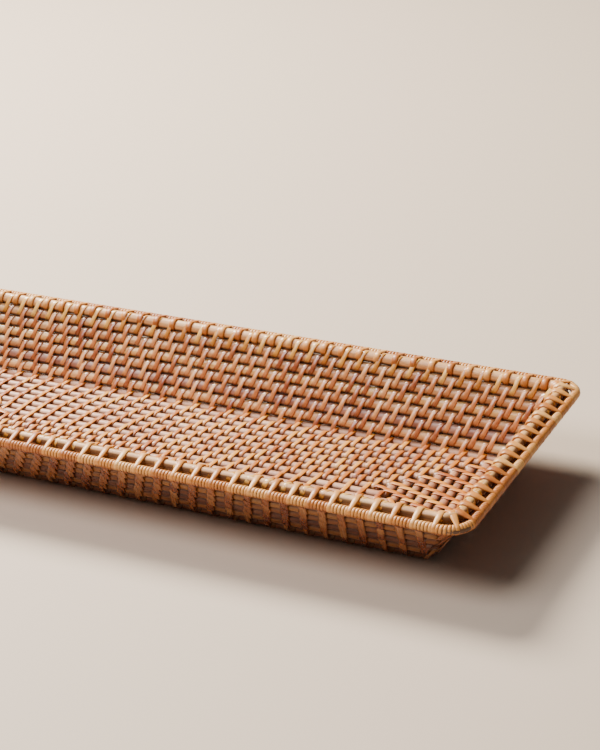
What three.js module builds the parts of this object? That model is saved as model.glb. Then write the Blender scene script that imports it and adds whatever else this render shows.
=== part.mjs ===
import * as THREE from 'three';
import { mergeVertices } from 'three/addons/utils/BufferGeometryUtils.js';

// A long flared tray of coiled rattan. Cane rods lie side by side in courses: a straight core rod,
// rings round it for the base, then leaning rings for the wall. A strand of peel binds each course
// to the one before it. A rim rod under a close wrapping of peel stands outside the top course.
// Millimetres, +X along the tray, +Z up, origin under the middle of the base.

// Overall sizes, over everything.
const trayLength = 440;
const trayWidth = 185;
const trayHeight = 47.5;

// Cane and peel.
const baseRodDiameter = 5.6;
const wallRodDiameter = 5.9;
const rimCoreDiameter = 4.4;
const fillerRodDiameter = 2.4;
const peelThickness = 0.6;
const strandWidth = 4.4;

// The lay of the coil. Neighbouring rods keep at least the rod gap, where the peel passes between
// them, and as many courses as that allows are spread evenly over the base and up the wall.
const rodGap = 0.75;
const wallLean = THREE.MathUtils.degToRad(56.5);
const baseCornerRadius = 4;
const topCornerRadius = 8;
const rimCornerRadius = 13;

// The rim. The wrapping is a sleeve open on its inboard side, with a flange over the top rod that
// reaches a little past that rod's middle and starts short of its outer side.
const rimGap = 2.2;
const rimDrop = 1.3;
const flangeReach = 1.35;
const flangeStart = 2;
const sleeveSlot = THREE.MathUtils.degToRad(60);

// A strand lies against each rod's side up to the groove angle and leaves it at the cap angle.
const grooveAngle = THREE.MathUtils.degToRad(20);
const capAngle = THREE.MathUtils.degToRad(60);
const fitGap = 0.3;

// Faceting.
const rodSides = 8;
const cornerSteps = 3;
const sleeveSteps = 8;

const baseRodRadius = baseRodDiameter / 2;
const wallRodRadius = wallRodDiameter / 2;
const rimCoreRadius = rimCoreDiameter / 2;
const fillerRadius = fillerRodDiameter / 2;
const sleeveInnerRadius = rimCoreRadius + fitGap;
const sleeveOuterRadius = sleeveInnerRadius + peelThickness;

// The tray stands on the strands under its base, so the base rods lie one peel above the table.
const baseHeight = baseRodRadius + peelThickness;
const topRodHeight = trayHeight - wallRodRadius - fitGap - peelThickness;
const wallRise = topRodHeight - baseHeight;
const wallRun = wallRise / Math.tan(wallLean);
const wallCourses = Math.floor(wallRise / Math.sin(wallLean) / (wallRodDiameter + rodGap));
const wallPitch = wallRise / Math.sin(wallLean) / wallCourses;
const courseOut = wallRun / wallCourses;
const courseUp = wallRise / wallCourses;

// The rim rod stands out from the top rod by both radii and the open gap between them.
const rimOffset = wallRodRadius + rimGap + sleeveOuterRadius;
const topHalfWidth = trayWidth / 2 - sleeveOuterRadius - rimOffset;
const topHalfLength = trayLength / 2 - sleeveOuterRadius - rimOffset;
const baseHalfWidth = topHalfWidth - wallRun;
const baseHalfLength = topHalfLength - wallRun;
const baseCourses = Math.floor(baseHalfWidth / (baseRodDiameter + rodGap));
const basePitch = baseHalfWidth / baseCourses;
const coreHalfLength = baseHalfLength - baseHalfWidth;

const baseCane = { color: 0xc29a7e, roughness: 0.55, metalness: 0 };
const wallCane = { color: 0xc9a27c, roughness: 0.5, metalness: 0 };
const strandPeel = { color: 0xc98a4b, roughness: 0.45, metalness: 0 };
const rimPeel = { color: 0xd8ab70, roughness: 0.4, metalness: 0 };
const fillerCane = { color: 0x8a5a38, roughness: 0.6, metalness: 0 };

const tray = new THREE.Group();

function addPiece(name, geometry, finish) {
  geometry.deleteAttribute('normal');
  geometry.deleteAttribute('uv');
  const solid = mergeVertices(geometry, 1e-5);
  solid.computeVertexNormals();
  const piece = new THREE.Mesh(solid, new THREE.MeshStandardMaterial({ ...finish, flatShading: true }));
  piece.name = name;
  tray.add(piece);
}

// Sections are outlines in (out, up) about a ring's middle line, drawn counter-clockwise.
function polar(radius, angle) {
  return new THREE.Vector2(radius * Math.cos(angle), radius * Math.sin(angle));
}

function arcPoints(radius, fromAngle, toAngle, steps) {
  const points = [];
  for (let i = 0; i <= steps; i++) {
    points.push(polar(radius, fromAngle + ((toAngle - fromAngle) * i) / steps));
  }
  return points;
}

// A many-sided rod with a flat side down.
function rodSection(radius) {
  const halfSide = Math.PI / rodSides;
  return arcPoints(radius, halfSide, 2 * Math.PI + halfSide, rodSides).slice(0, rodSides);
}

// The strand that binds two neighbouring rods fills the groove between them and spreads into a flat
// cap on each face of the sheet. Seen along the rods it is an hourglass. It is drawn from the lower
// rod's middle, along the sheet and across it, leant over with the sheet, and then moved to lie
// about the middle line of the groove.
function strandSection(lowRadius, highRadius, spacing, lean, innerCap) {
  const capHeight = Math.max(lowRadius, highRadius) + peelThickness;
  const middle = (spacing + lowRadius - highRadius) / 2;
  const cap = (side, height) => new THREE.Vector2(middle + (side * strandWidth) / 2, height);
  const onLowRod = (angle) => polar((lowRadius + fitGap) / Math.cos(grooveAngle), angle);
  const onHighRod = (angle) => {
    const point = polar((highRadius + fitGap) / Math.cos(grooveAngle), angle);
    return new THREE.Vector2(spacing - point.x, point.y);
  };
  const points = [
    cap(-1, -capHeight),
    cap(1, -capHeight),
    onHighRod(-capAngle),
    onHighRod(-grooveAngle),
    onHighRod(grooveAngle),
  ];
  if (innerCap) {
    points.push(onHighRod(capAngle));
    points.push(cap(1, capHeight));
    points.push(cap(-1, capHeight));
    points.push(onLowRod(capAngle));
  }
  points.push(onLowRod(grooveAngle));
  points.push(onLowRod(-grooveAngle));
  points.push(onLowRod(-capAngle));
  const lowRodMiddle = new THREE.Vector2();
  const toGroove = new THREE.Vector2((-spacing / 2) * Math.cos(lean), (-spacing / 2) * Math.sin(lean));
  return points.map((point) => point.rotateAround(lowRodMiddle, lean).add(toGroove));
}

function wrapSection() {
  const slotEdge = Math.PI - sleeveSlot / 2;
  const underFlange = rimDrop + wallRodRadius + fitGap;
  return [
    ...arcPoints(sleeveOuterRadius, -slotEdge, Math.PI / 2, sleeveSteps),
    new THREE.Vector2(-rimOffset - flangeReach, underFlange + peelThickness),
    new THREE.Vector2(-rimOffset - flangeReach, underFlange),
    new THREE.Vector2(-rimOffset + flangeStart, underFlange),
    polar(sleeveOuterRadius, slotEdge),
    ...arcPoints(sleeveInnerRadius, slotEdge, -slotEdge, sleeveSteps),
  ];
}

// A ring with rounded corners: the section is lathed round the upright axis, and each quarter turn
// is then slid out to its own corner.
function ringGeometry(section, halfLength, halfWidth, cornerRadius, height) {
  const radius = Math.min(cornerRadius, halfWidth, halfLength);
  const quarterColumns = cornerSteps + 1;
  const columns = 4 * quarterColumns;
  const outline = [...section, section[0]].map((point) => new THREE.Vector2(radius + point.x, point.y));
  const geometry = new THREE.LatheGeometry(outline, columns);
  const position = geometry.attributes.position;
  for (let i = 0; i < position.count; i++) {
    const point = outline[i % outline.length];
    const column = Math.floor(i / outline.length) % columns;
    const quarter = Math.floor(column / quarterColumns);
    const angle = (quarter + (column % quarterColumns) / cornerSteps) * (Math.PI / 2);
    const sideX = quarter === 0 || quarter === 3 ? 1 : -1;
    const sideY = quarter < 2 ? 1 : -1;
    const x = sideX * (halfLength - radius) + point.x * Math.cos(angle);
    const y = sideY * (halfWidth - radius) + point.x * Math.sin(angle);
    position.setXYZ(i, x, y, height + point.y);
  }
  return geometry;
}

// Base: the straight core rod, then ring after ring, each one pitch further out, and between each
// two rods their strand.
const coreRod = new THREE.CylinderGeometry(baseRodRadius, baseRodRadius, 2 * coreHalfLength, rodSides);
coreRod.rotateY(Math.PI / rodSides);
coreRod.rotateZ(Math.PI / 2);
coreRod.translate(0, 0, baseHeight);
addPiece('base_core_rod', coreRod, baseCane);

function addBaseRing(name, section, out, finish) {
  addPiece(name, ringGeometry(section, coreHalfLength + out, out, baseCornerRadius, baseHeight), finish);
}

for (let course = 1; course <= baseCourses; course++) {
  addBaseRing(`base_rod_${course}`, rodSection(baseRodRadius), course * basePitch, baseCane);
  const strand = strandSection(baseRodRadius, baseRodRadius, basePitch, 0, true);
  addBaseRing(`base_strand_${course}`, strand, (course - 0.5) * basePitch, strandPeel);
}

// Wall: each ring steps outward and up along the lean, and its corners open out as it climbs.
function addWallRing(name, section, course, finish) {
  const corner = baseCornerRadius + ((topCornerRadius - baseCornerRadius) * course) / wallCourses;
  const halfLength = baseHalfLength + course * courseOut;
  const halfWidth = baseHalfWidth + course * courseOut;
  const height = baseHeight + course * courseUp;
  addPiece(name, ringGeometry(section, halfLength, halfWidth, corner, height), finish);
}

for (let course = 1; course <= wallCourses; course++) {
  addWallRing(`wall_rod_${course}`, rodSection(wallRodRadius), course, wallCane);
  // The first strand turns the corner from base to wall, so it has no cap on the inside.
  const turnsCorner = course === 1;
  const lowRadius = turnsCorner ? baseRodRadius : wallRodRadius;
  const strand = strandSection(lowRadius, wallRodRadius, wallPitch, wallLean, !turnsCorner);
  addWallRing(`wall_strand_${course}`, strand, course - 0.5, strandPeel);
}

// Rim: the core rod, its wrapping, and a thin filler rod nested under the gap beside the top rod.
function addRimRing(name, section, out, drop, finish) {
  const corner = topCornerRadius + ((rimCornerRadius - topCornerRadius) * out) / rimOffset;
  const height = topRodHeight - drop;
  addPiece(name, ringGeometry(section, topHalfLength + out, topHalfWidth + out, corner, height), finish);
}

addRimRing('rim_core_rod', rodSection(rimCoreRadius), rimOffset, rimDrop, wallCane);
addRimRing('rim_wrapping', wrapSection(), rimOffset, rimDrop, rimPeel);

// The filler lies against the top rod and the wrapping, one fit gap from each. Its middle is the
// lower corner of the triangle whose other corners are the middles of those two.
const fillerToTop = wallRodRadius + fitGap + fillerRadius;
const fillerToRim = sleeveOuterRadius + fitGap + fillerRadius;
const topToRim = Math.hypot(rimOffset, rimDrop);
const alongTriangle = (topToRim ** 2 + fillerToTop ** 2 - fillerToRim ** 2) / (2 * topToRim);
const acrossTriangle = Math.sqrt(fillerToTop ** 2 - alongTriangle ** 2);
const filler = new THREE.Vector2(alongTriangle, -acrossTriangle);
filler.rotateAround(new THREE.Vector2(), -Math.atan2(rimDrop, rimOffset));
addRimRing('rim_filler_rod', rodSection(fillerRadius), filler.x, -filler.y, fillerCane);

export default tray;
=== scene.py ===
import math

import bpy
from mathutils import Matrix, Vector


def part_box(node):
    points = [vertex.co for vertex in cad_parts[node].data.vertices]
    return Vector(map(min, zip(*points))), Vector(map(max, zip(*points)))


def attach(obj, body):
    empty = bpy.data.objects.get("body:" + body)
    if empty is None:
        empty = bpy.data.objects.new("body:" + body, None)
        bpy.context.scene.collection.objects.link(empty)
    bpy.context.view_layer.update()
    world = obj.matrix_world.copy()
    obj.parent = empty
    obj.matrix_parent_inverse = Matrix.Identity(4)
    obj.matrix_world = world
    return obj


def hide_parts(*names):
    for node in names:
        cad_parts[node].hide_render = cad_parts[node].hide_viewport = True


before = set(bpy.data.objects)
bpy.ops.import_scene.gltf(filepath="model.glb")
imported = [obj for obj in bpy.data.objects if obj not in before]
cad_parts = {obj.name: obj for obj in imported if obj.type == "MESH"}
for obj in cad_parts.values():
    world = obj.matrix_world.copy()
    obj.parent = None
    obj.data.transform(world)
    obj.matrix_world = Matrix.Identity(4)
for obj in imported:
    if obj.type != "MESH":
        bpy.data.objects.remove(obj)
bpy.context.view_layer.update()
print("frame loaded:", len(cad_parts), "nodes")

mm = 0.001


# One value in a node tree. Sums and products of fields add the nodes that work them out.
class Field:
    def __init__(self, socket):
        self.socket = socket
        self.tree = socket.id_data

    def __add__(self, other):
        return calc("ADD", self, other)

    def __radd__(self, other):
        return calc("ADD", other, self)

    def __sub__(self, other):
        return calc("SUBTRACT", self, other)

    def __rsub__(self, other):
        return calc("SUBTRACT", other, self)

    def __mul__(self, other):
        return calc("MULTIPLY", self, other)

    def __rmul__(self, other):
        return calc("MULTIPLY", other, self)

    def __truediv__(self, other):
        return calc("DIVIDE", self, other)

    def __rtruediv__(self, other):
        return calc("DIVIDE", other, self)

    def isVector(self):
        return self.socket.type == "VECTOR"


def isVector(value):
    return value.isVector() if isinstance(value, Field) else isinstance(value, (tuple, Vector))


def connect(tree, value, socket):
    if isinstance(value, Field):
        tree.links.new(value.socket, socket)
    else:
        socket.default_value = value


# Adds a node, sets its properties, joins its inputs by name or number, and returns it.
def addNode(tree, kind, inputs=None, **settings):
    node = tree.nodes.new(kind)
    for name, value in settings.items():
        setattr(node, name, value)
    for key, value in (inputs or {}).items():
        connect(tree, value, node.inputs[key])
    return node


def addField(tree, kind, inputs=None, output=0, **settings):
    return Field(addNode(tree, kind, inputs, **settings).outputs[output])


def calc(operation, *values):
    tree = next(value.tree for value in values if isinstance(value, Field))
    vectors = [isVector(value) for value in values]
    if not any(vectors):
        return addField(tree, "ShaderNodeMath", dict(enumerate(values)), operation=operation)
    if operation == "MULTIPLY" and not all(vectors):
        arrow, factor = values if vectors[0] else reversed(values)
        return addField(tree, "ShaderNodeVectorMath", {0: arrow, "Scale": factor}, operation="SCALE")
    node = addNode(tree, "ShaderNodeVectorMath", dict(enumerate(values)), operation=operation)
    return Field(node.outputs["Value" if operation in ("LENGTH", "DOT_PRODUCT") else "Vector"])


def floor(value):
    return calc("FLOOR", value)


# How far a value has come from low to high, held between 0 and 1.
def rampField(value, low, high):
    return addField(value.tree, "ShaderNodeMapRange", {"Value": value, "From Min": low, "From Max": high})


def arrowField(tree, x, y, z):
    return addField(tree, "ShaderNodeCombineXYZ", {0: x, 1: y, 2: z})


# The three parts of a vector.
def splitField(vector):
    parts = addNode(vector.tree, "ShaderNodeSeparateXYZ", {0: vector})
    return [Field(output) for output in parts.outputs]


def newTree(name, inputs, outputs=(("Geometry", "Geometry"),)):
    tree = bpy.data.node_groups.new(name, "GeometryNodeTree")
    for label, kind in inputs:
        tree.interface.new_socket(label, in_out="INPUT", socket_type="NodeSocket" + kind)
    for label, kind in outputs:
        tree.interface.new_socket(label, in_out="OUTPUT", socket_type="NodeSocket" + kind)
    entry = tree.nodes.new("NodeGroupInput")
    fields = {label: Field(entry.outputs[label]) for label, kind in inputs}
    return tree, fields


def closeTree(tree, **outputs):
    end = tree.nodes.new("NodeGroupOutput")
    for label, value in outputs.items():
        connect(tree, value, end.inputs[label])


def storeField(geometry, name, kind, value):
    inputs = {"Geometry": geometry, "Name": name, "Value": value}
    return addField(geometry.tree, "GeometryNodeStoreNamedAttribute", inputs, data_type=kind,
                    domain="POINT")


def namedField(tree, name, kind):
    return addField(tree, "GeometryNodeInputNamedAttribute", {"Name": name}, data_type=kind)


# Sets the material, makes instances real and hands the geometry out.
def finishTree(tree, geometry, material):
    smooth = addField(tree, "GeometryNodeSetShadeSmooth", {"Geometry": geometry})
    real = addField(tree, "GeometryNodeRealizeInstances", {"Geometry": smooth})
    painted = addField(tree, "GeometryNodeSetMaterial", {"Geometry": real, "Material": material})
    closeTree(tree, Geometry=painted)


# Runs a tree once and keeps the result as a plain mesh.
def growPiece(name, tree, values, body="root", replaced=()):
    seedMesh = bpy.data.meshes.new(name + "Seed")
    seedObject = bpy.data.objects.new(name + "Seed", seedMesh)
    bpy.context.scene.collection.objects.link(seedObject)
    modifier = seedObject.modifiers.new(name, "NODES")
    modifier.node_group = tree
    for item in tree.interface.items_tree:
        if item.in_out == "INPUT" and item.name in values:
            modifier[item.identifier] = values[item.name]
    graph = bpy.context.evaluated_depsgraph_get()
    mesh = bpy.data.meshes.new_from_object(seedObject.evaluated_get(graph))
    mesh.name = name
    bpy.data.objects.remove(seedObject)
    piece = bpy.data.objects.new(name, mesh)
    bpy.context.scene.collection.objects.link(piece)
    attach(piece, body)
    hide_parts(*replaced)
    return piece


# A rounded rectangle, walked clockwise from the middle of the far side. Quarter runs from 0 to 4,
# one for each quarter of the way. Stitches are closer on the short ends than on the long sides.
def buildRouteTree():
    inputs = [("Quarter", "Float"), ("Half Length", "Float"), ("Half Width", "Float"),
              ("Corner Radius", "Float"), ("Height", "Float"), ("Short Ratio", "Float")]
    outputs = [("Position", "Vector"), ("Outward", "Vector"), ("Stretch", "Float"), ("Reach", "Float")]
    tree, given = newTree("trayRoute", inputs, outputs)
    quarter = given["Quarter"]
    radius = calc("MINIMUM", given["Corner Radius"], given["Half Width"])
    halfCorner = radius * (math.pi / 4)
    longPart = given["Half Length"] - radius + halfCorner
    shortPart = given["Half Width"] - radius + halfCorner
    longShare = longPart / (longPart + shortPart / given["Short Ratio"])
    fold = calc("PINGPONG", quarter, 1.0)
    onLong = calc("MINIMUM", fold / longShare, 1.0) * longPart
    onShort = calc("MAXIMUM", fold - longShare, 0.0) / (1.0 - longShare) * shortPart
    distance = onLong + onShort
    straight = given["Half Length"] - radius
    turned = rampField(distance, straight, straight + radius * (math.pi / 2)) * (math.pi / 2)
    sine = calc("SINE", turned)
    cosine = calc("COSINE", turned)
    x = calc("MINIMUM", distance, straight) + radius * sine
    pastCorner = calc("MAXIMUM", distance - straight - radius * (math.pi / 2), 0.0)
    y = given["Half Width"] - radius + radius * cosine - pastCorner
    signX = 1.0 - floor(calc("FLOORED_MODULO", quarter, 4.0) / 2.0) * 2.0
    signY = 1.0 - floor(calc("FLOORED_MODULO", quarter + 1.0, 4.0) / 2.0) * 2.0
    position = arrowField(tree, x * signX, y * signY, given["Height"])
    outward = arrowField(tree, sine * signX, cosine * signY, 0.0)
    closeTree(tree, Position=position, Outward=outward, Stretch=sine + cosine, Reach=sine * sine)
    return tree


routeTree = buildRouteTree()


def routeFields(tree, quarter, given, shortRatio):
    node = addNode(tree, "GeometryNodeGroup", node_tree=routeTree)
    connect(tree, quarter, node.inputs["Quarter"])
    for label in ("Half Length", "Half Width", "Corner Radius", "Height"):
        connect(tree, given[label], node.inputs[label])
    connect(tree, shortRatio, node.inputs["Short Ratio"])
    return [Field(node.outputs[label]) for label in ("Position", "Outward", "Stretch", "Reach")]


def lineField(tree, count):
    return addField(tree, "GeometryNodeMeshLine", {"Count": count})


seedStride = 17.37  # how far apart two seeds read the same noise


def smoothNoise(tree, where, seed):
    inputs = {"W": where + seed * seedStride, "Scale": 1.0, "Detail": 1.0}
    return addField(tree, "ShaderNodeTexNoise", inputs, noise_dimensions="1D") - 0.5


# A random value that stays the same over each whole number.
def randomField(tree, number, seed):
    return addField(tree, "FunctionNodeRandomValue", {"ID": floor(number), "Seed": seed}, output=1,
                    data_type="FLOAT")


# Painted shade: where the darkened grooves and the darkened outside begin and end, as shares of a rod's
# radius or turn, and how strong and what colour that painted shade is.
shadeChoices = {
    "grooveOnRod": (0.62, 0.98),
    "grooveOnPeel": (0.3, 0.95),
    "outsideOnRod": (0.1, -0.5),
    "outsideOnPeel": (0.1, -0.6),
    "peelShare": 0.6,  # peel on the outside is less dark than the rods
    "rimSide": (0.9, 1.0),  # the side of the top rod that faces the rim
    "groove": 0.85,
    "grooveShadeColour": (0.045, 0.014, 0.006, 1.0),
    "outside": 0.9,
    "outsideShadeColour": (0.42, 0.24, 0.14, 1.0),
}


rodChoices = {
    "baseFullness": 0.02,  # how much wider a rod is along the sheet, where it meets its neighbours
    "wallFullness": 0.19,
    "cornerFullness": 0.9,  # and wider still round the corners, where the courses lie further apart
    "turnedFullness": 0.26,  # the last base rod is turned up and must clear the table
    "sides": 14,
    "step": 3.2 * mm,
    "waviness": 0.28 * mm,  # how far a rod strays from its line
    "waveLength": 34 * mm,
    "calmLength": 20 * mm,  # a rod runs true near its splice
    "thicknessWander": 0.05,
    "spliceLength": 11 * mm,
    "spliceGap": 0.1 * mm,
}


# A rod that goes round the tray and ends in a long slanted splice, or a straight rod.
def buildRodTree():
    inputs = [("Half Length", "Float"), ("Half Width", "Float"), ("Corner Radius", "Float"),
              ("Height", "Float"), ("Radius", "Float"), ("Straight", "Float"), ("Splice At", "Float"),
              ("Points", "Int"), ("Sides", "Int"), ("Way Length", "Float"), ("Waviness", "Float"),
              ("Wave Length", "Float"), ("Calm Length", "Float"), ("Wander", "Float"),
              ("Splice Length", "Float"), ("Splice Gap", "Float"), ("Sheet Out", "Float"),
              ("Sheet Up", "Float"), ("Fullness", "Float"), ("Corner Fullness", "Float"),
              ("Open Top", "Float"), ("Seed", "Int"), ("Material", "Material")]
    tree, given = newTree("caneRod", inputs)
    index = Field(tree.nodes.new("GeometryNodeInputIndex").outputs[0])
    share = index / (given["Points"] - 1.0)
    along = share * given["Way Length"]
    ring = share * 4.0 + given["Splice At"]
    position, outward, stretch = routeFields(tree, ring, given, 1.0)[:3]
    level = arrowField(tree, (share * 2.0 - 1.0) * given["Half Length"], 0.0, given["Height"])
    straight = given["Straight"]
    place = position * (1.0 - straight) + level * straight
    side = outward * (1.0 - straight) + arrowField(tree, 0.0, straight, 0.0)
    calm = given["Calm Length"]
    fade = rampField(along, 0.0, calm) * rampField(given["Way Length"] - along, 0.0, calm)
    waveAt = along / given["Wave Length"]
    strayOut = smoothNoise(tree, waveAt, given["Seed"]) * given["Waviness"] * fade * 2.0
    strayUp = smoothNoise(tree, waveAt + 53.1, given["Seed"]) * given["Waviness"] * fade
    place = place + side * strayOut + arrowField(tree, 0.0, 0.0, strayUp)
    line = addField(tree, "GeometryNodeMeshToCurve", {"Mesh": lineField(tree, given["Points"])})
    line = addField(tree, "GeometryNodeSetPosition", {"Geometry": line, "Position": place})
    line = storeField(line, "alongRod", "FLOAT", along)
    line = storeField(line, "rodSide", "FLOAT_VECTOR", side)
    line = storeField(line, "rodMiddle", "FLOAT_VECTOR", place)
    line = storeField(line, "rodStretch", "FLOAT", stretch * (1.0 - straight) + straight)
    line = addField(tree, "GeometryNodeSetCurveNormal", {"Curve": line}, mode="Z_UP")
    thick = smoothNoise(tree, waveAt * 0.7 + 11.3, given["Seed"]) * given["Wander"] + 1.0
    ringCurve = addField(tree, "GeometryNodeCurvePrimitiveCircle",
                         {"Resolution": given["Sides"], "Radius": given["Radius"]})
    profilePlace = addField(tree, "GeometryNodeInputPosition")
    ringCurve = storeField(ringCurve, "rodSection", "FLOAT_VECTOR", profilePlace)
    skin = addField(tree, "GeometryNodeCurveToMesh",
                    {"Curve": line, "Profile Curve": ringCurve, "Scale": thick, "Fill Caps": True})
    alongRod = namedField(tree, "alongRod", "FLOAT")
    section = namedField(tree, "rodSection", "FLOAT_VECTOR")
    sideways = namedField(tree, "rodSide", "FLOAT_VECTOR")
    height, width = splitField(section)[:2]
    fromStart = 1.0 - rampField(alongRod, 0.0, given["Splice Length"] * 2.0)
    fromEnd = 1.0 - rampField(given["Way Length"] - alongRod, 0.0, given["Splice Length"] * 2.0)
    slant = height / given["Radius"] * given["Splice Length"] * 0.5 * (fromStart + fromEnd)
    trim = given["Splice Gap"] * 0.5 * (fromStart - fromEnd)
    forward = calc("CROSS_PRODUCT", sideways, (0.0, 0.0, 1.0))
    shear = forward * ((slant + trim) * (1.0 - straight))
    sheet = sideways * given["Sheet Out"] + arrowField(tree, 0.0, 0.0, given["Sheet Up"])
    fromMiddle = addField(tree, "GeometryNodeInputPosition") - namedField(tree, "rodMiddle", "FLOAT_VECTOR")
    towardNext = calc("DOT_PRODUCT", fromMiddle, sheet)
    cornerSwell = (namedField(tree, "rodStretch", "FLOAT") - 1.0) * given["Corner Fullness"]
    swell = sheet * (towardNext * (given["Fullness"] + cornerSwell))
    skin = addField(tree, "GeometryNodeSetPosition", {"Geometry": skin, "Offset": shear + swell})
    grain = arrowField(tree, alongRod + given["Seed"] * 0.731, height, width)
    skin = storeField(skin, "grain", "FLOAT_VECTOR", grain)

    # Painted shade: the rod is darkened in the grooves towards its neighbours and on the outside of the
    # tray. The top rod has no neighbour above it, so that side gets no painted groove shade, down to the
    # side by the rim, which gets painted shade where it faces the rim rod.
    face = arrowField(tree, 0.0, 0.0, given["Sheet Out"]) - sideways * given["Sheet Up"]
    closed = 1.0 - calc("GREATER_THAN", towardNext, 0.0) * given["Open Top"]
    sideShare = calc("DOT_PRODUCT", fromMiddle, sideways) / given["Radius"]
    nextShare = calc("ABSOLUTE", towardNext) / given["Radius"]
    faceShare = calc("DOT_PRODUCT", fromMiddle, face) / given["Radius"]
    towardRim = rampField(sideShare, *shadeChoices["rimSide"]) * given["Open Top"]
    groove = rampField(nextShare, *shadeChoices["grooveOnRod"]) * closed + towardRim
    outside = rampField(faceShare, *shadeChoices["outsideOnRod"]) * closed
    skin = storeField(skin, "shade", "FLOAT_VECTOR", arrowField(tree, groove, outside, 0.0))
    finishTree(tree, skin, given["Material"])
    return tree


strandChoices = {
    "width": 3.0 * mm,
    "thickness": 0.45 * mm,
    "slack": 0.1 * mm,  # air between the peel and the rods
    "firstLoops": 52,
    "moreLoops": 4,  # more loops in each course than in the one inside it
    "shortRatio": 0.84,
    "baseLead": (0.22, 0.3),  # share of a stitch gained across the inside: long sides, short ends
    "wallLead": (0.6, 0.55),
    "firstShift": -0.2375,  # brings the stitches on the two sides of the core rod into step
    "baseShift": 0.305,
    "wallShift": 0.71,
    "outsideWidth": 0.5,  # how much wider the peel spreads on the outside of the wall
    "unevenness": 0.16,
    "widthWander": 0.22,
}
loopPoints = 16  # along one loop: 3 up the inner rod, 2 across, 6 round the outer rod, 2 back, 3 up


peelFlatness = 0.88  # 0 leaves a regular outline, 1 moves the corners of the face out to the edge


# Flat peel of six-sided section, its faces crowned and its edges thin.
def peelSection(tree, width, thickness):
    hexagon = addField(tree, "GeometryNodeCurvePrimitiveCircle", {"Resolution": 6, "Radius": 1.0})
    place = addField(tree, "GeometryNodeInputPosition")
    across, thin = splitField(place)[:2]
    thin = thin / math.sin(math.pi / 3)
    flatter = across * (1.0 + peelFlatness - calc("ABSOLUTE", across) * peelFlatness)
    outline = arrowField(tree, thin * thickness * 0.5, flatter * width * 0.5, 0.0)
    shaped = storeField(hexagon, "across", "FLOAT", across)
    return addField(tree, "GeometryNodeSetPosition", {"Geometry": shaped, "Position": outline})


# Sweeps peel along a line of points whose faces look away from the rods.
def sweepPeel(tree, given, place, facing, count, alongLoops, tone, breadth, groove, outside):
    line = addField(tree, "GeometryNodeMeshToCurve", {"Mesh": lineField(tree, count)})
    line = addField(tree, "GeometryNodeSetPosition", {"Geometry": line, "Position": place})
    line = storeField(line, "alongLoops", "FLOAT", alongLoops)
    line = storeField(line, "tone", "FLOAT", tone)
    line = storeField(line, "shade", "FLOAT_VECTOR", arrowField(tree, groove, outside, 0.0))
    line = addField(tree, "GeometryNodeSetSplineCyclic", {"Geometry": line, "Cyclic": True})
    line = addField(tree, "GeometryNodeSetCurveNormal", {"Curve": line, "Normal": facing}, mode="FREE")
    profile = peelSection(tree, given["Peel Width"], given["Peel Thickness"])
    skin = addField(tree, "GeometryNodeCurveToMesh",
                    {"Curve": line, "Profile Curve": profile, "Scale": breadth})
    grain = arrowField(tree, namedField(tree, "alongLoops", "FLOAT"), namedField(tree, "across", "FLOAT"),
                       namedField(tree, "tone", "FLOAT"))
    skin = storeField(skin, "grain", "FLOAT_VECTOR", grain)
    finishTree(tree, skin, given["Material"])


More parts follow.
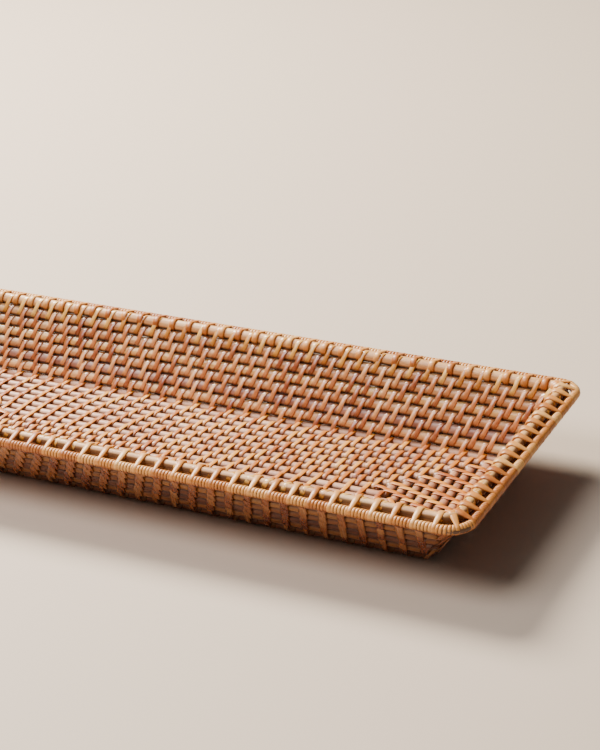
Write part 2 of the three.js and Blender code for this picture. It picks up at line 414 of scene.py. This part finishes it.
# One strand winds round two neighbouring rods all the way round the tray.
def buildStrandTree():
    inputs = [("Half Length", "Float"), ("Half Width", "Float"), ("Corner Radius", "Float"),
              ("Height", "Float"), ("Inner Radius", "Float"), ("Outer Radius", "Float"),
              ("Step Out", "Float"), ("Step Up", "Float"), ("Corner Growth", "Float"),
              ("Loops", "Int"), ("Short Ratio", "Float"), ("Lead Long", "Float"),
              ("Lead Short", "Float"), ("Shift", "Float"), ("Peel Width", "Float"),
              ("Peel Thickness", "Float"), ("Slack", "Float"), ("Unevenness", "Float"),
              ("Width Wander", "Float"), ("Outside Width", "Float"), ("Open Top", "Float"),
              ("Seed", "Int"), ("Material", "Material")]
    tree, given = newTree("peelStrand", inputs)
    index = Field(tree.nodes.new("GeometryNodeInputIndex").outputs[0])
    turn = index / float(loopPoints)
    phase = calc("FRACT", turn)
    loops = given["Loops"]
    fade = rampField(turn, 0.0, 2.0) * rampField(loops - turn, 0.0, 2.0)
    uneven = smoothNoise(tree, turn, given["Seed"]) * given["Unevenness"] * fade
    start = floor(turn) + given["Shift"] + uneven
    reach = routeFields(tree, start / loops * 4.0, given, given["Short Ratio"])[3]
    lead = given["Lead Long"] + (given["Lead Short"] - given["Lead Long"]) * reach
    firstHalf = rampField(phase, 0.0, 0.5)
    secondHalf = rampField(phase, 0.5, 1.0)
    gone = start + lead * firstHalf + (1.0 - lead) * secondHalf
    position, outward, stretch = routeFields(tree, gone / loops * 4.0, given, given["Short Ratio"])[:3]

    # Where the strand is between the two rods, and how far it has turned round one of them.
    unit = 1.0 / loopPoints
    between = rampField(phase, 3 * unit, 5 * unit) - rampField(phase, 11 * unit, 13 * unit)
    quarterTurns = (rampField(phase, 0.0, 3 * unit) + rampField(phase, 5 * unit, 11 * unit) * 2.0
                    + rampField(phase, 13 * unit, 1.0))
    angle = math.pi - quarterTurns * (math.pi / 2)
    stepOut = given["Step Out"] * stretch - given["Corner Growth"] * (stretch - 1.0)
    upward = arrowField(tree, 0.0, 0.0, 1.0)
    step = outward * stepOut + upward * given["Step Up"]
    sheet = calc("NORMALIZE", outward * given["Step Out"] + upward * given["Step Up"])
    tangent = calc("CROSS_PRODUCT", outward, upward)
    face = calc("CROSS_PRODUCT", tangent, sheet)
    facing = sheet * calc("COSINE", angle) + face * calc("SINE", angle)
    rodRadius = given["Inner Radius"] + (given["Outer Radius"] - given["Inner Radius"]) * between
    lift = rodRadius + given["Peel Thickness"] * 0.5 + given["Slack"]
    place = position + step * (between - 0.5) + facing * lift
    tone = randomField(tree, turn, given["Seed"])
    breadth = smoothNoise(tree, turn * 0.8 + 31.0, given["Seed"]) * given["Width Wander"] + 1.0
    spread = rampField(calc("SINE", angle), 0.2, -0.8) * given["Outside Width"]
    breadth = breadth * (1.0 + spread)
    # Painted shade: the peel is darkened where it dips between the rods, where it faces the rim on the top
    # rod, and, more lightly, on the outside of the tray.
    toNext = calc("COSINE", angle)
    closed = 1.0 - calc("GREATER_THAN", toNext, 0.01) * given["Open Top"]
    sideShare = calc("DOT_PRODUCT", facing, outward)
    towardRim = rampField(sideShare, *shadeChoices["rimSide"]) * given["Open Top"]
    groove = rampField(calc("ABSOLUTE", toNext), *shadeChoices["grooveOnPeel"]) * closed + towardRim
    outside = rampField(calc("SINE", angle), *shadeChoices["outsideOnPeel"]) * closed
    outside = outside * shadeChoices["peelShare"]
    sweepPeel(tree, given, place, facing, loops * float(loopPoints), turn, tone, breadth, groove, outside)
    return tree


wrapChoices = {
    "turnsPerCrossing": 6,
    "width": 1.72 * mm,
    "thickness": 0.5 * mm,
    "edgeWidth": 0.55,  # a crossing turn is this much wider where it lies on the rim rod
    "crossingWidth": 1.8,  # it spreads where it lies on the top rod
    "shortSpread": 1.2,  # and spreads more on the short ends
    "ahead": 0.1,  # share of a stitch from the last strand to the crossing, on top of the top rod
    "unevenness": 0.12,
    "widthWander": 0.1,
}
turnPoints = 14  # along one turn: 2 in, 4 round the top rod, 2 out, 6 round the rim rod


# Close turns round the rim rod. The last turn of each group goes round the top rod as well.
def buildWrapTree():
    inputs = [("Half Length", "Float"), ("Half Width", "Float"), ("Corner Radius", "Float"),
              ("Height", "Float"), ("Top Radius", "Float"), ("Rim Radius", "Float"),
              ("Step Out", "Float"), ("Step Up", "Float"), ("Corner Growth", "Float"),
              ("Crossings", "Int"), ("Turns Each", "Int"), ("Short Ratio", "Float"),
              ("Shift", "Float"), ("Edge Width", "Float"), ("Crossing Width", "Float"),
              ("Short Spread", "Float"),
              ("Peel Width", "Float"), ("Peel Thickness", "Float"), ("Unevenness", "Float"),
              ("Width Wander", "Float"), ("Seed", "Int"), ("Material", "Material")]
    tree, given = newTree("rimWrap", inputs)
    index = Field(tree.nodes.new("GeometryNodeInputIndex").outputs[0])
    turn = index / float(turnPoints)
    phase = calc("FRACT", turn)
    each = given["Turns Each"]
    turns = given["Crossings"] * each
    inGroup = calc("FLOORED_MODULO", floor(turn), each)
    crossing = calc("COMPARE", inGroup, each - 1.0, 0.5)
    fade = rampField(turn, 0.0, 2.0) * rampField(turns - turn, 0.0, 2.0)
    uneven = smoothNoise(tree, turn, given["Seed"]) * given["Unevenness"] * fade
    gone = turn + given["Shift"] * each + uneven
    position, outward, stretch, reach = routeFields(tree, gone / turns * 4.0, given, given["Short Ratio"])
    unit = 1.0 / turnPoints
    away = (rampField(phase, 0.0, 2 * unit) - rampField(phase, 6 * unit, 8 * unit)) * crossing
    plainTurn = phase * (2 * math.pi)
    wideTurn = (rampField(phase, 2 * unit, 6 * unit) + rampField(phase, 8 * unit, 1.0)) * math.pi
    angle = (plainTurn * (1.0 - crossing) + wideTurn * crossing + math.pi / 2) * -1.0
    upward = arrowField(tree, 0.0, 0.0, 1.0)
    stepOut = given["Step Out"] * stretch - given["Corner Growth"] * (stretch - 1.0)
    step = outward * stepOut + upward * given["Step Up"]
    facing = outward * calc("COSINE", angle) + upward * calc("SINE", angle)
    rodRadius = given["Rim Radius"] + (given["Top Radius"] - given["Rim Radius"]) * away
    lift = rodRadius + given["Peel Thickness"] * 0.5
    place = position - step * away + facing * lift
    tone = randomField(tree, turn / each, given["Seed"])
    wander = smoothNoise(tree, turn * 0.9 + 7.0, given["Seed"]) * given["Width Wander"] + 1.0
    spread = given["Crossing Width"] - 1.0 + given["Short Spread"] * reach
    narrowing = 1.0 - (1.0 - given["Short Ratio"]) * reach
    breadth = wander * narrowing * (1.0 + given["Edge Width"] * crossing + spread * calc("SQRT", away))
    # Painted shade: the crossing turns are darkened where they face down between the top rod and the rim
    # rod, and all turns are darkened on their undersides.
    facingUp = calc("DOT_PRODUCT", facing, upward)
    groove = away * rampField(facingUp, 0.2, -0.6)
    outside = rampField(facingUp, 0.1, -0.9)
    sweepPeel(tree, given, place, facing, turns * float(turnPoints), turn, tone, breadth, groove, outside)
    return tree


def newMaterial(name):
    material = bpy.data.materials.new(name)
    material.use_nodes = True
    tree = material.node_tree
    shader = next(node for node in tree.nodes if node.type == "BSDF_PRINCIPLED")
    return material, tree, shader


def colourRamp(tree, value, stops):
    ramp = addNode(tree, "ShaderNodeValToRGB", {0: value})
    while len(ramp.color_ramp.elements) < len(stops):
        ramp.color_ramp.elements.new(0.5)
    for element, (place, colour) in zip(ramp.color_ramp.elements, stops):
        element.position = place
        element.color = (*colour, 1.0)
    return Field(ramp.outputs[0])


def mixColour(tree, factor, first, second, blend="MIX"):
    inputs = {0: factor, 6: first, 7: second}
    return addField(tree, "ShaderNodeMix", inputs, output=2, data_type="RGBA", blend_type=blend)


def noiseField(tree, vector, scale, detail=3.0, roughness=0.55):
    inputs = {"Vector": vector, "Scale": scale, "Detail": detail, "Roughness": roughness}
    return addField(tree, "ShaderNodeTexNoise", inputs)


# Scales the three directions of a pattern apart.
def stretched(vector, x, y, z):
    return calc("MULTIPLY", vector, (x, y, z))


# Painted shade: the grooves are darkened towards near black and the outside of the tray is darkened to a
# redder brown, in the colour itself, so it stays under any light.
def shadedColour(tree, body):
    shade = addField(tree, "ShaderNodeAttribute", output="Vector", attribute_name="shade")
    groove, outside = splitField(shade)[:2]
    outsideShaded = mixColour(tree, outside * shadeChoices["outside"], body, shadeChoices["outsideShadeColour"],
                        "MULTIPLY")
    grooved = calc("MINIMUM", groove, 1.0) * shadeChoices["groove"]
    return mixColour(tree, grooved, outsideShaded, shadeChoices["grooveShadeColour"])


# Bare cane: long fibres with fine dark pores, and a slow drift of colour along the rod.
def caneMaterial(name, dark, middle, pale, roughness, sheen):
    material, tree, shader = newMaterial(name)
    grain = addField(tree, "ShaderNodeAttribute", output="Vector", attribute_name="grain")
    drift = noiseField(tree, stretched(grain, 26.0, 60.0, 60.0), 1.0, 2.0)
    fibres = noiseField(tree, stretched(grain, 55.0, 2600.0, 2600.0), 1.0, 4.0, 0.65)
    pores = noiseField(tree, stretched(grain, 160.0, 4200.0, 4200.0), 1.0, 2.0)
    mixed = drift * 0.6 + fibres * 0.4
    body = colourRamp(tree, mixed, [(0.34, dark), (0.5, middle), (0.66, pale)])
    poreMark = rampField(pores, 0.60, 0.72)
    colour = mixColour(tree, poreMark * 0.45, body, (dark[0] * 0.5, dark[1] * 0.45, dark[2] * 0.42, 1.0))
    connect(tree, shadedColour(tree, colour), shader.inputs["Base Color"])
    connect(tree, roughness + fibres * 0.18 - 0.09, shader.inputs["Roughness"])
    height = fibres * 0.7 - poreMark * 0.5
    bump = addField(tree, "ShaderNodeBump", {"Height": height, "Strength": 0.35, "Distance": 0.00018})
    connect(tree, bump, shader.inputs["Normal"])
    shader.inputs["Sheen Weight"].default_value = sheen
    return material


# Rattan peel: a hard shiny skin, streaked along its length, with duller and darker edges.
def peelMaterial(name, dark, middle, pale, edge, roughness, coat):
    material, tree, shader = newMaterial(name)
    grain = addField(tree, "ShaderNodeAttribute", output="Vector", attribute_name="grain")
    across, tone = splitField(grain)[1:]
    place = addField(tree, "ShaderNodeTexCoord", output="Object")
    blotches = noiseField(tree, place, 420.0, 3.0)
    drift = noiseField(tree, place, 38.0, 2.0)
    streaks = noiseField(tree, stretched(grain, 2.2, 6.5, 9.0), 1.0, 4.0, 0.7)
    mixed = tone * 0.34 + blotches * 0.24 + streaks * 0.26 + drift * 0.3 - 0.07
    body = colourRamp(tree, mixed, [(0.3, dark), (0.5, middle), (0.72, pale)])
    rim = rampField(calc("ABSOLUTE", across), 0.7, 1.0)
    colour = mixColour(tree, rim * 0.55, body, (*edge, 1.0))
    connect(tree, shadedColour(tree, colour), shader.inputs["Base Color"])
    connect(tree, roughness + streaks * 0.16 + rim * 0.15 - 0.08, shader.inputs["Roughness"])
    bump = addField(tree, "ShaderNodeBump", {"Height": streaks, "Strength": 0.3, "Distance": 0.00012})
    connect(tree, bump, shader.inputs["Normal"])
    shader.inputs["Coat Weight"].default_value = coat
    shader.inputs["Coat Roughness"].default_value = 0.25
    return material


baseCane = caneMaterial("baseCane", (0.34, 0.13, 0.06), (0.60, 0.28, 0.14), (0.80, 0.46, 0.26), 0.42, 0.1)
wallCane = caneMaterial("wallCane", (0.36, 0.13, 0.04), (0.64, 0.31, 0.11), (0.82, 0.50, 0.23), 0.36, 0.1)
blondCane = caneMaterial("blondCane", (0.56, 0.25, 0.06), (0.86, 0.48, 0.14), (0.94, 0.66, 0.28), 0.26, 0.1)
duskyCane = caneMaterial("duskyCane", (0.25, 0.10, 0.06), (0.42, 0.20, 0.13), (0.58, 0.34, 0.24), 0.38, 0.1)
paleCane = caneMaterial("paleCane", (0.50, 0.21, 0.06), (0.80, 0.42, 0.15), (0.92, 0.60, 0.27), 0.40, 0.1)
# The filler rod is reddish-brown cane, coloured far darker than the other canes as painted shade for the
# deep gap between the top rod and the rim rod where it lies.
shadedFillerCane = caneMaterial("shadedFillerCane", (0.10, 0.03, 0.012), (0.20, 0.07, 0.03),
                          (0.32, 0.13, 0.06), 0.55, 0.0)
basePeel = peelMaterial("basePeel", (0.40, 0.09, 0.008), (0.70, 0.23, 0.02), (0.88, 0.40, 0.06),
                        (0.22, 0.05, 0.008), 0.42, 0.12)
wallPeel = peelMaterial("wallPeel", (0.30, 0.07, 0.02), (0.62, 0.22, 0.06), (0.80, 0.40, 0.15),
                        (0.18, 0.045, 0.015), 0.26, 0.7)
blondPeel = peelMaterial("blondPeel", (0.50, 0.18, 0.02), (0.82, 0.40, 0.06), (0.92, 0.58, 0.16),
                         (0.34, 0.11, 0.02), 0.3, 0.4)
rimPeel = peelMaterial("rimPeel", (0.44, 0.12, 0.018), (0.74, 0.29, 0.05), (0.88, 0.47, 0.14),
                       (0.24, 0.06, 0.012), 0.42, 0.12)


cornerChoices = {"base": 4 * mm, "top": 8 * mm, "rim": 13 * mm}
rodFlats = math.cos(math.pi / 8)  # a CAD rod is eight-sided, with its corners on the true round


# Where a rod runs, from the box of its CAD solid: half sizes of its middle line, height and radius.
def rodLine(node):
    low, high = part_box(node)
    thick = high.z - low.z
    flatHalf = thick / 2
    return {
        "Half Length": high.x - flatHalf,
        "Half Width": high.y - flatHalf,
        "Height": (high.z + low.z) / 2,
        "Radius": flatHalf / rodFlats,
    }


wallTints = {1: paleCane, 2: duskyCane, 4: blondCane, 7: paleCane}  # odd canes in the wall, by course

rodTree = buildRodTree()
strandTree = buildStrandTree()
wrapTree = buildWrapTree()

coreLine = rodLine("base_core_rod")
coreLow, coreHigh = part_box("base_core_rod")
coreLine.update({"Half Length": coreHigh.x, "Half Width": 0.0})
baseLines = [coreLine]
while "base_rod_%d" % len(baseLines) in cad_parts:
    baseLines.append(rodLine("base_rod_%d" % len(baseLines)))
wallLines = [baseLines[-1]]
while "wall_rod_%d" % len(wallLines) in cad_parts:
    wallLines.append(rodLine("wall_rod_%d" % len(wallLines)))
rimLine = rodLine("rim_core_rod")
fillerLine = rodLine("rim_filler_rod")
baseCount = len(baseLines) - 1
wallCount = len(wallLines) - 1

for line in baseLines:
    line["Corner Radius"] = min(cornerChoices["base"], line["Half Width"])
for course, line in enumerate(wallLines):
    cornerGrowth = (cornerChoices["top"] - cornerChoices["base"]) / wallCount
    line["Corner Radius"] = cornerChoices["base"] + course * cornerGrowth
topLine = wallLines[-1]
rimStep = rimLine["Half Width"] - topLine["Half Width"]
rimLine["Corner Radius"] = cornerChoices["rim"]
fillerShare = (fillerLine["Half Width"] - topLine["Half Width"]) / rimStep
fillerLine["Corner Radius"] = (cornerChoices["top"]
                               + (cornerChoices["rim"] - cornerChoices["top"]) * fillerShare)


wallOut = topLine["Half Width"] - wallLines[0]["Half Width"]
wallUp = topLine["Height"] - wallLines[0]["Height"]
wallSheet = (wallOut / math.hypot(wallOut, wallUp), wallUp / math.hypot(wallOut, wallUp))


def wayLength(line):
    return 4 * (line["Half Length"] + line["Half Width"]) - (8 - 2 * math.pi) * line["Corner Radius"]


def addRod(name, line, spliceAt, seed, material, node, sheet=(1.0, 0.0), fullness=0.0,
           cornerFullness=rodChoices["cornerFullness"], straight=False, openTop=False):
    length = 2 * line["Half Length"] if straight else wayLength(line)
    values = {key: line[key] for key in ("Half Length", "Half Width", "Corner Radius", "Height", "Radius")}
    values.update({
        "Straight": float(straight),
        "Splice At": spliceAt,
        "Points": round(length / rodChoices["step"]),
        "Sides": rodChoices["sides"],
        "Way Length": length,
        "Waviness": rodChoices["waviness"],
        "Wave Length": rodChoices["waveLength"],
        "Calm Length": rodChoices["calmLength"],
        "Wander": rodChoices["thicknessWander"],
        "Splice Length": rodChoices["spliceLength"],
        "Splice Gap": rodChoices["spliceGap"],
        "Sheet Out": sheet[0],
        "Sheet Up": sheet[1],
        "Fullness": fullness,
        "Corner Fullness": cornerFullness,
        "Open Top": float(openTop),
        "Seed": seed,
        "Material": material,
    })
    return growPiece(name, rodTree, values, replaced=[node])


def addStrand(name, inner, outer, course, lead, shift, material, node, outsideWidth=0.0,
              openTop=False):
    values = {
        "Half Length": (inner["Half Length"] + outer["Half Length"]) / 2,
        "Half Width": (inner["Half Width"] + outer["Half Width"]) / 2,
        "Corner Radius": (inner["Corner Radius"] + outer["Corner Radius"]) / 2,
        "Height": (inner["Height"] + outer["Height"]) / 2,
        "Inner Radius": inner["Radius"],
        "Outer Radius": outer["Radius"],
        "Step Out": outer["Half Width"] - inner["Half Width"],
        "Step Up": outer["Height"] - inner["Height"],
        "Corner Growth": outer["Corner Radius"] - inner["Corner Radius"],
        "Loops": strandChoices["firstLoops"] + strandChoices["moreLoops"] * course,
        "Short Ratio": strandChoices["shortRatio"],
        "Lead Long": lead[0],
        "Lead Short": lead[1],
        "Shift": shift,
        "Peel Width": strandChoices["width"],
        "Peel Thickness": strandChoices["thickness"],
        "Slack": strandChoices["slack"],
        "Unevenness": strandChoices["unevenness"],
        "Width Wander": strandChoices["widthWander"],
        "Outside Width": outsideWidth,
        "Open Top": float(openTop),
        "Seed": 40 + course,
        "Material": material,
    }
    return growPiece(name, strandTree, values, replaced=[node])


addRod("baseCoreRod", coreLine, 0.0, 1, baseCane, "base_core_rod",
       fullness=rodChoices["baseFullness"], straight=True)
for course in range(1, baseCount + 1):
    spliceAt = (course * 1.37) % 4
    turnsUp = course == baseCount  # the last ring of the base meets the first ring of the wall
    addRod("baseRod%d" % course, baseLines[course], spliceAt, 1 + course, baseCane,
           "base_rod_%d" % course, sheet=wallSheet if turnsUp else (1.0, 0.0),
           fullness=rodChoices["wallFullness" if turnsUp else "baseFullness"],
           cornerFullness=rodChoices["turnedFullness" if turnsUp else "cornerFullness"])
    addStrand("baseStrand%d" % course, baseLines[course - 1], baseLines[course], course - 1,
              strandChoices["baseLead"], strandChoices["firstShift"] + course * strandChoices["baseShift"],
              basePeel,
              "base_strand_%d" % course)
print("base laid:", baseCount, "courses")

for course in range(1, wallCount + 1):
    spliceAt = (course * 1.61 + 0.4) % 4
    atTop = course == wallCount
    addRod("wallRod%d" % course, wallLines[course], spliceAt, 20 + course,
           wallTints.get(course, wallCane), "wall_rod_%d" % course, sheet=wallSheet,
           fullness=rodChoices["wallFullness"], openTop=atTop)
    shift = (strandChoices["firstShift"] + baseCount * strandChoices["baseShift"]
             + course * strandChoices["wallShift"])
    peel = blondPeel if atTop else wallPeel
    # The lowest strand stays narrow to clear the table, and the last one to fit under the rim wrapping.
    spread = strandChoices["outsideWidth"] if 1 < course < wallCount else 0.0
    addStrand("wallStrand%d" % course, wallLines[course - 1], wallLines[course], baseCount + course - 1,
              strandChoices["wallLead"], shift, peel, "wall_strand_%d" % course,
              outsideWidth=spread, openTop=atTop)
print("wall raised:", wallCount, "courses")

addRod("rimCoreRod", rimLine, 1.5, 31, wallCane, "rim_core_rod")
addRod("rimFillerRod", fillerLine, 2.5, 32, shadedFillerCane, "rim_filler_rod")
overTop = (wrapChoices["turnsPerCrossing"] - 1 + 6 / turnPoints) / wrapChoices["turnsPerCrossing"]
wrapValues = {key: rimLine[key] for key in ("Half Length", "Half Width", "Corner Radius", "Height")}
wrapValues.update({
    "Top Radius": topLine["Radius"] + strandChoices["thickness"] + strandChoices["slack"],
    "Rim Radius": rimLine["Radius"],
    "Step Out": rimStep,
    "Step Up": rimLine["Height"] - topLine["Height"],
    "Corner Growth": rimLine["Corner Radius"] - topLine["Corner Radius"],
    "Crossings": strandChoices["firstLoops"] + strandChoices["moreLoops"] * (baseCount + wallCount - 1),
    "Turns Each": wrapChoices["turnsPerCrossing"],
    "Short Ratio": strandChoices["shortRatio"],
    "Shift": shift + strandChoices["wallLead"][0] + wrapChoices["ahead"] - overTop,
    "Edge Width": wrapChoices["edgeWidth"],
    "Crossing Width": wrapChoices["crossingWidth"],
    "Short Spread": wrapChoices["shortSpread"],
    "Peel Width": wrapChoices["width"],
    "Peel Thickness": wrapChoices["thickness"],
    "Unevenness": wrapChoices["unevenness"],
    "Width Wander": wrapChoices["widthWander"],
    "Seed": 77,
    "Material": rimPeel,
})
growPiece("rimWrapping", wrapTree, wrapValues, replaced=["rim_wrapping"])
print("rim wrapped")


floorChoices = {"size": 6.0, "colour": (0.66, 0.53, 0.40, 1.0), "roughness": 0.7}
floorMaterial, floorTree, floorShader = newMaterial("paleFloor")
connect(floorTree, floorChoices["colour"], floorShader.inputs["Base Color"])
connect(floorTree, floorChoices["roughness"], floorShader.inputs["Roughness"])
bpy.ops.mesh.primitive_plane_add(size=floorChoices["size"], location=(0, 0, 0))
floorPlane = bpy.context.object
floorPlane.name = "floor"
floorPlane.data.materials.append(floorMaterial)


lightTarget = (0.05, 0, 0)


def aimAt(thing, target):
    thing.rotation_euler = (Vector(target) - thing.location).to_track_quat("-Z", "Y").to_euler()


def addSoftLight(name, place, size, power, colour):
    light = bpy.data.lights.new(name, "AREA")
    light.shape = "DISK"
    light.size = size
    light.energy = power
    light.color = colour
    lamp = bpy.data.objects.new(name, light)
    lamp.location = place
    bpy.context.scene.collection.objects.link(lamp)
    aimAt(lamp, lightTarget)


addSoftLight("windowLight", (-1.2, 0.65, 1.25), size=0.7, power=108, colour=(1.0, 0.95, 0.88))
addSoftLight("skyLight", (-0.55, -0.6, 1.3), size=1.0, power=24, colour=(0.98, 0.96, 1.0))

world = bpy.data.worlds.new("studio")
world.use_nodes = True
background = world.node_tree.nodes["Background"]
background.inputs["Color"].default_value = (0.80, 0.83, 0.88, 1.0)
background.inputs["Strength"].default_value = 0.11
bpy.context.scene.world = world

cameraChoices = {
    "place": (556.5 * mm, -895.1 * mm, 559.5 * mm),
    "turn": 27.96,  # degrees to the left of straight ahead
    "tilt": 25.88,  # degrees down
    "roll": -3.47,
    "lens": 96.0,
}
cameraData = bpy.data.cameras.new("camera")
cameraData.lens = cameraChoices["lens"]
cameraData.sensor_width = 36.0
camera = bpy.data.objects.new("camera", cameraData)
bpy.context.scene.collection.objects.link(camera)
turn, tilt, roll = (math.radians(cameraChoices[key]) for key in ("turn", "tilt", "roll"))
ahead = Vector((-math.sin(turn) * math.cos(tilt), math.cos(turn) * math.cos(tilt), -math.sin(tilt)))
level = Vector((math.cos(turn), math.sin(turn), 0.0))
upright = level.cross(ahead)
right = level * math.cos(roll) + upright * math.sin(roll)
above = upright * math.cos(roll) - level * math.sin(roll)
camera.matrix_world = Matrix((
    (right.x, above.x, -ahead.x, cameraChoices["place"][0]),
    (right.y, above.y, -ahead.y, cameraChoices["place"][1]),
    (right.z, above.z, -ahead.z, cameraChoices["place"][2]),
    (0, 0, 0, 1),
))
bpy.context.scene.camera = camera
print("stage set")
